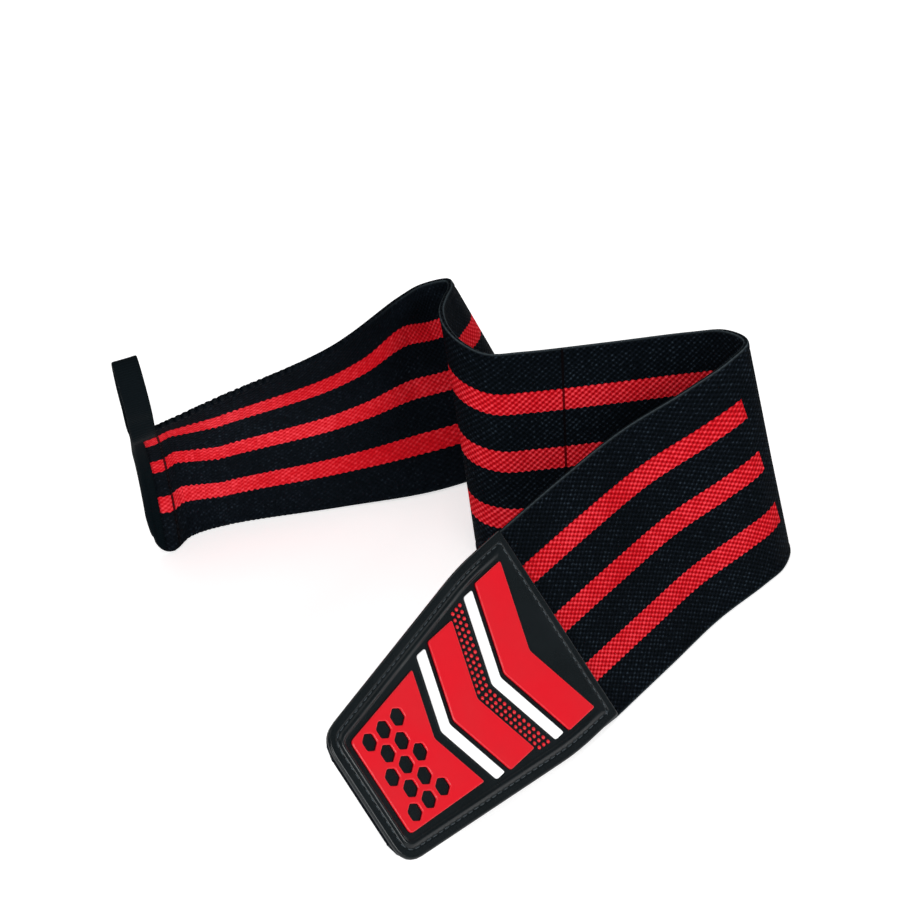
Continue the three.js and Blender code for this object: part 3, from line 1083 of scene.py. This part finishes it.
@dataclass
class EndBinding:
    """Folded tape over the strap's loop end, with the hem's line of stitches behind it."""

    path: StrapPath
    reach: float = 3.6
    gap: float = 0.15
    thickness: float = 0.8
    foot: float = 0.01
    top: float = 0.965
    tuck: float = 0.12
    least_tuck: float = 0.02
    top_taper: float = 0.3
    top_tuck: float = 0.15
    rows: int = 40
    leg_rows: int = 5
    fold_rows: int = 9
    fold_probe: float = 0.4
    weave_step: float = 0.8
    stitch_run: ThreadRun = ThreadRun(pitch=3.2, length=2.6, width=0.5, height=0.4)
    stitch_margin: float = 0.03
    stitch_points: int = 60

    def build(self, material: Material) -> Piece:
        """Builds the tape as a U-shaped wall round the end.

        Args:
            material: The tape's material.

        Returns:
            The tape.
        """
        shares = np.linspace(self.foot, self.top, self.rows)
        legs = np.linspace(self.reach, 0, self.leg_rows)
        bends = np.linspace(0, math.pi, self.fold_rows)[1:-1]
        points, normals, _ = self.path.net(np.append(legs, self.fold_probe), shares)
        outward = points[-2, -1] - points[-1, -1]
        outward /= np.linalg.norm(outward)
        points, normals = points[:-1], normals[:-1]
        tuck = np.sqrt(np.clip(shares / self.tuck, self.least_tuck, 1))
        tuck *= np.interp(shares, (self.top - self.top_taper, self.top), (1, self.top_tuck))
        folded = outward * tuck[:, None]

        def skin(offset: float) -> np.ndarray:
            """One side of the wall, from the end of one leg round the fold to the end of the other."""
            fold = [points[-1] + offset * (normals[-1] * np.cos(a) + folded * np.sin(a)) for a in bends]
            return np.concatenate([points + normals * offset, fold, (points - normals * offset)[::-1]])

        inner = self.path.thickness / 2 + self.gap
        rings = np.concatenate([skin(inner + self.thickness), skin(inner)[::-1]]).swapaxes(0, 1)
        return woven_wall("end_binding_tape", rings, [material], (shares * self.path.width)[:, None],
                          np.arange(rings.shape[1]) * self.weave_step)

    def hem_stitches(self, material: Material) -> Piece:
        """Builds the hem's stitches, which show on both faces.

        Args:
            material: The thread's material.

        Returns:
            The stitches of both faces.
        """
        shares = np.linspace(self.stitch_margin, 1 - self.stitch_margin, self.stitch_points)
        points, normals, _ = self.path.net(np.array([HEM_PLACE]), shares)
        paths = [(points[0] + normals[0] * face.value * self.path.thickness / 2, normals[0] * face.value)
                 for face in Face]
        return self.stitch_run.lay("hem_stitches", paths, material)


@dataclass
class ThumbLoop:
    """Flat tape bent into a standing loop, sewn to both faces of the strap at its upper corner.

    The side table gives each leg's places, as shares of half the opening and of the height. The section
    table gives places across the tape and its thickness there, as shares of half its width and thickness.
    """

    path: StrapPath
    tape_width: float = 9.5
    tape_thickness: float = 1.2
    height: float = 33.3
    opening: float = 12
    tuck: float = 2.5
    lean: float = 0.09
    turn: float = math.radians(10)
    turn_height: float = 10
    gap: float = 0.3
    side: Table = ((0.3, 0.05), (1, 0.38), (1, 0.6), (0.5, 0.9))
    section: Table = ((-1, 0.35), (-0.97, 0.75), (-0.86, 1), (-0.4, 0.9), (0, 0.9),
                      (0.4, 0.9), (0.86, 1), (0.97, 0.75), (1, 0.35))
    steps: int = 160
    tack_run: ThreadRun = ThreadRun(pitch=1.8, length=1.5, width=0.5, height=0.35)
    tack_reach: float = 3.6
    tack_points: int = 8

    def profile(self) -> SmoothCurve:
        """Draws the loop's side view.

        Returns:
            A curve whose x is the distance from the strap's middle and y the height above its edge.
        """
        seat = self.path.thickness / 2 + self.gap + self.tape_thickness / 2
        wide = (self.opening + self.tape_thickness) / 2
        leg = [(seat, -self.tuck), (seat, -self.tuck / 2)]
        leg += [(wide * width, self.height * height) for width, height in self.side]
        crown = [(0, self.height - self.tape_thickness / 2)]
        mirrored = [(-x, y) for x, y in leg[::-1]]
        return SmoothCurve(np.array(leg + crown + mirrored, float))

    def placed(self, sideways: np.ndarray, outwards: np.ndarray, upwards: np.ndarray) -> np.ndarray:
        """Places on or beside the tape, in the part's frame.

        Args:
            sideways: Distances across the tape from its middle, one for each column.
            outwards: Distances from the strap's middle surface, as rows and columns.
            upwards: Heights above the strap's edge, as rows and columns.

        Returns:
            Points that follow the strap's faces below its edge and stand free above it.
        """
        along = sideways + self.tape_width / 2
        shares = 1 + np.minimum(upwards, 0).T / self.path.width
        points = self.path.points(along, shares)
        ahead = self.path.points(along + self.path.probe, shares) - points
        above = self.path.points(along, shares + self.path.probe_share) - points
        normals = np.cross(ahead, above)
        normals /= np.linalg.norm(normals, axis=2, keepdims=True)
        rising = above / np.linalg.norm(above, axis=2, keepdims=True)
        free = np.maximum(upwards, 0).T[..., None]
        seated = points + normals * outwards.T[..., None] + rising * free
        stand = np.array([-self.lean, 0, 1]) / math.hypot(self.lean, 1)
        turned = np.array([math.cos(self.turn), math.sin(self.turn), 0])
        turned -= stand * (turned @ stand)
        turned /= np.linalg.norm(turned)
        middle = self.path.points(np.array([self.tape_width / 2]), np.ones((1, 1)))[0, 0]
        standing = (middle + turned * sideways[:, None, None] + stand * free
                    + np.cross(turned, stand) * outwards.T[..., None])
        share = np.clip(upwards / self.turn_height, 0, 1).T[..., None]
        share = share ** 2 * (3 - 2 * share)
        return np.swapaxes((1 - share) * seated + share * standing, 0, 1)

    def build(self, material: Material) -> Piece:
        """Builds the tape with thin rounded edges.

        Args:
            material: The tape's material.

        Returns:
            The tape.
        """
        profile = self.profile()
        line = profile.at(np.linspace(0, len(profile.points) - 3, self.steps + 1))
        heading = np.gradient(line, axis=0)
        heading /= np.linalg.norm(heading, axis=1, keepdims=True)
        outwards, upwards, out_heading, up_heading = np.hstack([line, heading]).T[..., None]
        across, swell = (np.array(self.section) * (self.tape_width / 2, self.tape_thickness / 2)).T

        def skin(face: Face) -> np.ndarray:
            """One face of the tape."""
            offset = face.value * swell
            return self.placed(across, outwards + offset * up_heading, upwards - offset * out_heading)

        rings = np.concatenate([skin(Face.PEBBLE), skin(Face.BRICK)[:, ::-1]], axis=1)
        lengths = np.concatenate([[0], np.cumsum(np.linalg.norm(np.diff(line, axis=0), axis=1))])
        return woven_wall("thumb_loop_tape", rings, [material], lengths[:, None], there_and_back(across))

    def tacks(self, material: Material) -> Piece:
        """Builds the row of stitches that holds each leg of the loop.

        Args:
            material: The thread's material.

        Returns:
            The stitches of both legs.
        """
        seat = self.path.thickness / 2 + self.gap + self.tape_thickness
        sideways = np.linspace(-self.tack_reach, self.tack_reach, self.tack_points)
        level = np.full((1, len(sideways)), -self.tuck / 2)
        under = self.placed(sideways, np.zeros(level.shape), level)[0]
        paths = []
        for face in Face:
            row = self.placed(sideways, np.full(level.shape, seat * face.value), level)[0]
            paths.append((row, row - under))
        return self.tack_run.lay("loop_tacks", paths, material)


@dataclass
class Patch:
    """Moulded rubber patch: a stitched base with a raised bead, chevron bars, grip pips and a tip panel.

    The table of base rings gives insets from the outline and heights above the seat, over the side, the
    flange with its stitched groove, and the bead.
    """

    path: StrapPath
    gap: float = 0.3
    thickness: float = 1.6
    tip_round: float = 9
    least_tip_round: float = 3
    shoulder_round: float = 9
    corner_round: float = 1
    corner_steps: int = 6
    base_rings: Table = (
        (0.25, 0), (0, 0.3), (0, 1.0), (0.12, 1.35), (0.4, 1.54), (0.8, 1.6), (1, 1.6), (2.7, 1.6),
        (2.9, 1.6), (3.2, 1.46), (4, 1.46), (4.3, 1.6), (4.55, 1.9), (4.9, 2.15), (5.35, 2.3), (5.8, 2.28),
        (6.2, 2.1), (6.55, 1.85), (6.8, 1.66), (7.1, 1.6), (7.4, 1.6))
    bead_start: float = 9
    relief: float = 0.9
    relief_round: float = 0.8
    relief_round_steps: int = 5
    relief_corner: float = 1
    relief_corner_steps: int = 4
    chevron_rise: float = 0.36
    chevron_margin: float = 7
    bars: tuple[Bar, ...] = (Bar("patch_bar_red_inner", 36, 16, Rubber.RED),
                             Bar("patch_bar_white_inner", 43.5, 5, Rubber.WHITE),
                             Bar("patch_bar_red_outer", 68, 15, Rubber.RED),
                             Bar("patch_bar_white_outer", 75.5, 5, Rubber.WHITE))
    panel_start: float = 80
    panel_margin: float = 9
    panel_tip_corner: float = 2
    hexagon_radius: float = 3.6
    hexagon_pitch: float = 8.6
    hexagon_start: float = 9
    hexagon_rows: int = 3
    hexagon_side_columns: int = 2
    hexagon_corner: float = 0.6
    hexagon_corner_steps: int = 2
    pip_run: ThreadRun = ThreadRun(pitch=2.4, length=1.6, width=1.6, height=1.1)
    pip_apexes: tuple[float, ...] = (46.2, 48.6, 51.0)
    pip_middle: float = 1.3
    pip_margin: float = 8
    pip_points: int = 12
    stitch_run: ThreadRun = ThreadRun(pitch=3.3, length=2.7, width=0.62, height=0.5)
    stitch_inset: float = 3.6
    stitch_level: float = 1.48

    @property
    def seat(self) -> float:
        """Height of the base's underside above the strap's middle."""
        return self.path.thickness / 2 + self.gap

    def outline(self, inset: float) -> np.ndarray:
        """Draws the patch's outline, moved in.

        Args:
            inset: How far it is moved in.

        Returns:
            The outline in the patch's own axes.
        """
        tip = self.path.patch_length - inset
        shoulder = self.path.width / 2 - inset
        half = float(self.path.half_width(tip)) - inset
        corners = [(-shoulder, inset), (shoulder, inset), (shoulder, self.path.straight), (half, tip),
                   (-half, tip), (-shoulder, self.path.straight)]
        tip_round = max(self.tip_round - inset, self.least_tip_round)
        radii = (self.corner_round, self.corner_round, self.shoulder_round, tip_round, tip_round,
                 self.shoulder_round)
        return filleted(corners, radii, self.corner_steps)

    def placed(self, outline: np.ndarray, height: float | np.ndarray) -> np.ndarray:
        """Lifts an outline to a height above the strap's middle, in the part's frame."""
        return self.path.on_patch(np.column_stack([outline, np.broadcast_to(height, len(outline))]))

    def outs(self, points: np.ndarray) -> np.ndarray:
        """The patch's outward direction, once for each point."""
        return np.repeat(self.path.out[None], len(points), axis=0)

    def base(self, material: Material) -> Piece:
        """Builds the base through rings that follow its outline inwards. The inner end has no bead.

        Args:
            material: The base's material.

        Returns:
            The base.
        """
        def ring(inset: float, height: float) -> np.ndarray:
            """Draws a ring, with what rises above the flange left out along the inner end.

            Args:
                inset: How far it lies in from the outline.
                height: Its height above the seat.

            Returns:
                The ring in the part's frame.
            """
            outline = self.outline(inset)
            beaded = outline[:, 1] > self.bead_start
            return self.placed(outline, self.seat + np.where(beaded, height, min(height, self.thickness)))

        rings = np.stack([ring(inset, height) for inset, height in self.base_rings])
        return new_piece("patch_base_moulded", rings, ring_faces(rings, Caps.PLATE), [material])

    def raised(self, name: str, outlines: Sequence[np.ndarray], material: Material) -> Piece:
        """Builds a raised piece with rounded edges.

        Args:
            name: The piece's name.
            outlines: Its outer outline, then those of its windows, in the patch's own axes.
            material: The piece's material.

        Returns:
            The piece, seated on the base.
        """
        curve = bpy.data.curves.new(name, "CURVE")
        curve.dimensions = "2D"
        curve.fill_mode = "BOTH"
        curve.extrude = (self.relief / 2 - self.relief_round / 2) * MM
        curve.bevel_depth = self.relief_round / 2 * MM
        curve.bevel_resolution = self.relief_round_steps
        curve.offset = -curve.bevel_depth
        for outline in outlines:
            count = len(outline)
            spline = curve.splines.new("POLY")
            spline.points.add(count - 1)
            places = np.column_stack([outline * MM, np.zeros(count), np.ones(count)])
            spline.points.foreach_set("co", places.ravel())
            spline.use_cyclic_u = True
        drawn = bpy.data.objects.new(name, curve)
        bpy.context.scene.collection.objects.link(drawn)
        mesh = plain_mesh(drawn)
        bpy.data.objects.remove(drawn)
        lift = np.eye(4)
        lift[2, 3] = self.seat + self.thickness + self.relief / 2
        place = self.path.patch_frame @ lift
        place[:3, 3] *= MM
        mesh.transform(Matrix(place.tolist()))
        return linked(name, mesh, [material])

    def chevron(self, bar: Bar) -> list[np.ndarray]:
        """Draws a bar that is bent to a point and reaches the margin at both sides.

        Args:
            bar: The bar's sizes.

        Returns:
            Its one outline, in the patch's own axes.
        """
        half = float(self.path.half_width(bar.apex)) - self.chevron_margin
        side = bar.apex - self.chevron_rise * half
        far_side = side - bar.thickness
        corners = [(0, bar.apex), (-half, side), (-half, far_side), (0, bar.apex - bar.thickness),
                   (half, far_side), (half, side)]
        return [filleted(corners, (self.relief_corner,) * len(corners), self.relief_corner_steps)]

    def panel(self) -> list[np.ndarray]:
        """Draws the tip panel and its hexagonal windows.

        Returns:
            The panel's outline, then the windows', in the patch's own axes.
        """
        end = self.path.patch_length - self.panel_margin
        start_half, end_half = self.path.half_width(np.array([self.panel_start, end])) - self.panel_margin
        notch = self.panel_start - self.chevron_rise * start_half
        corners = [(0, self.panel_start), (start_half, notch), (end_half, end), (-end_half, end),
                   (-start_half, notch)]
        radii = (self.relief_corner, self.relief_corner, self.panel_tip_corner, self.panel_tip_corner,
                 self.relief_corner)
        outlines = [filleted(corners, radii, self.relief_corner_steps)]
        angles = np.arange(6) * math.pi / 3
        hexagon = self.hexagon_radius * np.column_stack([np.cos(angles), np.sin(angles)])
        for column in range(-self.hexagon_side_columns, self.hexagon_side_columns + 1):
            odd = abs(column) % 2
            x = column * self.hexagon_pitch * math.cos(math.pi / 6)
            for row in range(self.hexagon_rows - odd):
                y = self.panel_start + self.hexagon_start + (row + odd / 2) * self.hexagon_pitch
                outlines.append(filleted(hexagon + (x, y), (self.hexagon_corner,) * len(hexagon),
                                         self.hexagon_corner_steps))
        return outlines

    def pips(self, material: Material) -> Piece:
        """Builds rows of small grip pips in the dark band between the bars.

        Args:
            material: The pips' material.

        Returns:
            The pips of all rows.
        """
        paths = []
        for apex in self.pip_apexes:
            half = float(self.path.half_width(apex)) - self.pip_margin
            for sign in (-1, 1):
                across = np.linspace(sign * self.pip_middle, sign * half, self.pip_points)
                line = np.column_stack([across, apex - self.chevron_rise * abs(across)])
                points = self.placed(line, self.seat + self.thickness)
                paths.append((points, self.outs(points)))
        return self.pip_run.lay("patch_pips", paths, material)

    def stitches(self, material: Material) -> Piece:
        """Builds the stitches in the base's groove.

        Args:
            material: The thread's material.

        Returns:
            The stitches.
        """
        outline = self.outline(self.stitch_inset)
        around = self.placed(np.vstack([outline, outline[:1]]), self.seat + self.stitch_level)
        return self.stitch_run.lay("patch_stitches", [(around, self.outs(around))], material)


@dataclass
class HookPad:
    """Hook fastener behind the patch: a woven backing with a field of small bent hooks."""

    path: StrapPath
    inset: float = 5
    backing: float = 0.7
    backing_edge: float = 0.2
    gap: float = 0.3
    margin: float = 1.5
    pitch: float = 2.2
    row_share: float = 0.87
    tip_reach: float = 2.4
    tip_taper: float = 0.6
    hook_radius: float = 0.4
    hook_seat: float = 0.9
    hook_start: float = math.radians(-70)
    hook_sweep: float = math.radians(230)
    hook_points: int = 7
    wire_radius: float = 0.12
    wire_sides: int = 5
    spin: float = 0.5
    seed: int = 7

    @property
    def seat(self) -> float:
        """Height of the backing's upper side above the strap's middle, which it lies below."""
        return -self.path.thickness / 2 - self.gap

    def tree(self) -> NodeTree:
        """Builds the node tree: a bent wire on each point, turned at random about the pad's normal.

        Returns:
            The tree.
        """
        sockets = {"Points": "Geometry", "Radius": "Float", "Wire": "Float", "Seed": "Int",
                   "Finish": "Material"}
        tree, add, given = node_group("hook_field", sockets)
        bend = add("GeometryNodeCurveArc", self.hook_points, given["Radius"], self.hook_start,
                   self.hook_sweep, mode="RADIUS")
        wire = add("GeometryNodeCurvePrimitiveCircle", self.wire_sides, given["Wire"])
        hook = add("GeometryNodeCurveToMesh", bend, wire, inputs={"Fill Caps": True})
        upright = add("GeometryNodeTransform", hook, inputs={"Rotation": (math.pi / 2, 0, 0)})
        out = add("GeometryNodeInputNamedAttribute", "out", data_type="FLOAT_VECTOR")
        stood = add("FunctionNodeAlignRotationToVector", inputs={"Vector": out}, axis="Z")
        spin = add("FunctionNodeRandomValue", (0, 0, -self.spin), (0, 0, self.spin),
                   inputs={"Seed": given["Seed"]}, data_type="FLOAT_VECTOR")
        turned = add("FunctionNodeRotateRotation", stood, spin, rotation_space="LOCAL")
        laid = add("GeometryNodeInstanceOnPoints", inputs={"Points": given["Points"], "Instance": upright,
                                                           "Rotation": turned})
        end_group(add, laid, given["Finish"])
        return tree

    def build(self, patch: Patch, material: Material) -> Piece:
        """Builds the backing plate.

        Args:
            patch: The patch that it lies behind.
            material: The backing's material.

        Returns:
            The backing.
        """
        levels = ((0, 0), (0, -self.backing + self.backing_edge), (self.backing_edge, -self.backing))
        rings = np.stack([patch.placed(patch.outline(self.inset + inset), self.seat + height)
                          for inset, height in levels])
        return new_piece("hook_pad_backing", rings, ring_faces(rings, Caps.PLATE), [material])

    def hooks(self, patch: Patch, material: Material) -> Piece:
        """Builds the hooks on a staggered grid, drawn about twice as coarse as real ones.

        Args:
            patch: The patch that they lie behind.
            material: The hooks' material.

        Returns:
            The hooks.
        """
        edge = self.inset + self.margin
        end = self.path.patch_length
        places = []
        for row, y in enumerate(np.arange(edge, end - edge, self.pitch * self.row_share)):
            half = float(self.path.half_width(y)) - edge
            half -= max(0.0, y - (end - self.tip_reach * edge)) * self.tip_taper
            places += [(x, y) for x in np.arange(-half + row % 2 * self.pitch / 2, half, self.pitch)]
        level = self.seat - self.backing - self.hook_radius * self.hook_seat
        points = patch.placed(np.array(places), level)
        values = {"Radius": self.hook_radius * MM, "Wire": self.wire_radius * MM, "Seed": self.seed,
                  "Finish": material}
        return grown("hook_pad_hooks", self.tree(), points, -patch.outs(points), [], values)


# The studio, and how all is put together


@dataclass
class Studio:
    """Plain pale floor, soft lights and a distant camera at the photograph's angle."""

    path: StrapPath
    elevation: float = math.radians(35)
    roll: float = math.radians(6.5)
    distance: float = 4000
    target: tuple[float, float, float] = (0, 0, 40)
    focal_pixels: float = 10960
    image_pixels: float = 900
    sensor: float = 36
    view_metres: float = 100
    floor_half: float = 20000
    floor_tone: str = "#f4f4f4"
    floor_roughness: float = 0.9
    floor_glow: float = 0.5
    white: str = "#ffffff"
    sky_strength: float = 0.2
    lamps: tuple[Lamp, ...] = (Lamp("key_light", (1.6, -1.3, 1.0), 1.0, 31),
                               Lamp("fill_light", (-0.9, -1.9, 0.7), 1.0, 33),
                               Lamp("back_light", (0.3, 1.7, 1.6), 1.4, 11),
                               Lamp("top_light", (0, 0, 2.4), 1.6, 12))

    def camera(self) -> None:
        """Makes the camera, which looks along +Y and is rolled as the photograph is."""
        data = bpy.data.cameras.new("camera")
        data.sensor_width = self.sensor
        data.lens = self.sensor * self.focal_pixels / self.image_pixels
        data.clip_end = self.view_metres
        forward = np.array([0, math.cos(self.elevation), -math.sin(self.elevation)])
        level = np.array([1.0, 0, 0])
        upright = np.array([0, math.sin(self.elevation), math.cos(self.elevation)])
        right = math.cos(self.roll) * level - math.sin(self.roll) * upright
        up = math.sin(self.roll) * level + math.cos(self.roll) * upright
        matrix = np.eye(4)
        matrix[:3, :3] = np.column_stack([right, up, -forward])
        matrix[:3, 3] = (np.array(self.target) + self.path.shift - forward * self.distance) * MM
        camera = bpy.data.objects.new("camera", data)
        camera.matrix_world = Matrix(matrix.tolist())
        bpy.context.scene.collection.objects.link(camera)
        bpy.context.scene.camera = camera

    def light(self, lamp: Lamp) -> None:
        """Adds a soft light that looks at the object.

        Args:
            lamp: The light's sizes.
        """
        data = bpy.data.lights.new(lamp.name, "AREA")
        data.size = lamp.size
        data.energy = lamp.power
        light = bpy.data.objects.new(lamp.name, data)
        light.location = lamp.place
        direction = Vector(self.target) * MM - light.location
        light.rotation_euler = direction.to_track_quat("-Z", "Y").to_euler()
        bpy.context.scene.collection.objects.link(light)

    def floor(self) -> None:
        """Makes the floor of white acrylic, lit a little from below."""
        half = self.floor_half
        corners = np.array([(-half, -half, 0), (half, -half, 0), (half, half, 0), (-half, half, 0)])
        material, _, surface = shader("lit_white_acrylic")
        fill(surface, inputs={"Base Color": linear(self.floor_tone), "Roughness": self.floor_roughness,
                              "Emission Color": linear(self.white), "Emission Strength": self.floor_glow})
        new_piece("studio_floor", corners, [(0, 1, 2, 3)], [material])

    def build(self) -> None:
        """Makes the floor, the lights, the surroundings and the camera."""
        self.floor()
        for lamp in self.lamps:
            self.light(lamp)
        world = bpy.data.worlds.new("studio")
        world.use_nodes = True
        fill(world.node_tree.nodes["Background"], [linear(self.white), self.sky_strength])
        bpy.context.scene.world = world
        bpy.context.scene.view_settings.view_transform = "Standard"
        self.camera()


def settle(piece: Piece, slot: str, *nodes: str) -> Piece:
    """Attaches a finished piece to the body, hides the solids that it stands for and logs its faces.

    Args:
        piece: The piece, in place.
        slot: The record's material slot. It is not used.
        nodes: The solids that it stands for.

    Returns:
        The same piece.
    """
    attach(piece, BODY)
    if nodes:
        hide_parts(*nodes)
    log.info("%s: %d faces", piece.name, len(piece.data.polygons))
    return piece


def main() -> None:
    """Builds the studio and then the sub-assemblies in order."""
    logging.basicConfig(level=logging.INFO, format="%(message)s")
    path = StrapPath()
    Studio(path).build()
    thread = Thread("black_thread", "#07090b", "#14181c").material()
    weft = Thread("black_weft", "#03060a", "#0a0f14", gloss=0.04).material()
    nylon = Thread("black_nylon", "#101316", "#22272c").material()
    charcoal = Thread("charcoal_thread", "#1a1f22", "#3a4247").material()
    tape = WovenTape("black_tape").material()
    matt_tape = WovenTape("black_matt_tape", gloss=0.02).material()
    black, red, white = Rubber
    rubbers = {
        black: MouldedRubber("black_rubber", "#040a0c", "#081014", roughness=0.27, gloss=0.24).material(),
        red: MouldedRubber("red_rubber", "#cc0219", "#be0014").material(),
        white: MouldedRubber("white_rubber", "#f3f4f4", "#e6e8e9").material(),
    }

    strap = ElasticStrap(path)
    cloth = settle(strap.build(), "elastic", "elastic_strap")
    ribs = settle(strap.ribs(weft), "elastic")
    binding = EndBinding(path)
    bound = settle(binding.build(matt_tape), "tape", "end_binding")
    hem = settle(binding.hem_stitches(weft), "elastic")
    loop = ThumbLoop(path)
    looped = settle(loop.build(tape), "tape", "thumb_loop")
    tacks = settle(loop.tacks(thread), "tape")

    patch = Patch(path)
    settle(patch.base(rubbers[black]), black.value, "patch_base")
    for bar in patch.bars:
        piece = patch.raised(f"{bar.node}_moulded", patch.chevron(bar), rubbers[bar.rubber])
        settle(piece, bar.rubber.value, bar.node)
    panel = patch.raised("patch_tip_panel_moulded", patch.panel(), rubbers[red])
    settle(panel, red.value, "patch_tip_panel")
    settle(patch.pips(rubbers[red]), red.value)
    settle(patch.stitches(charcoal), black.value)
    fastener = HookPad(path)
    pad = settle(fastener.build(patch, tape), "hook", "hook_pad")
    hooks = settle(fastener.hooks(patch, nylon), "hook")


if __name__ == "__main__":
    main()
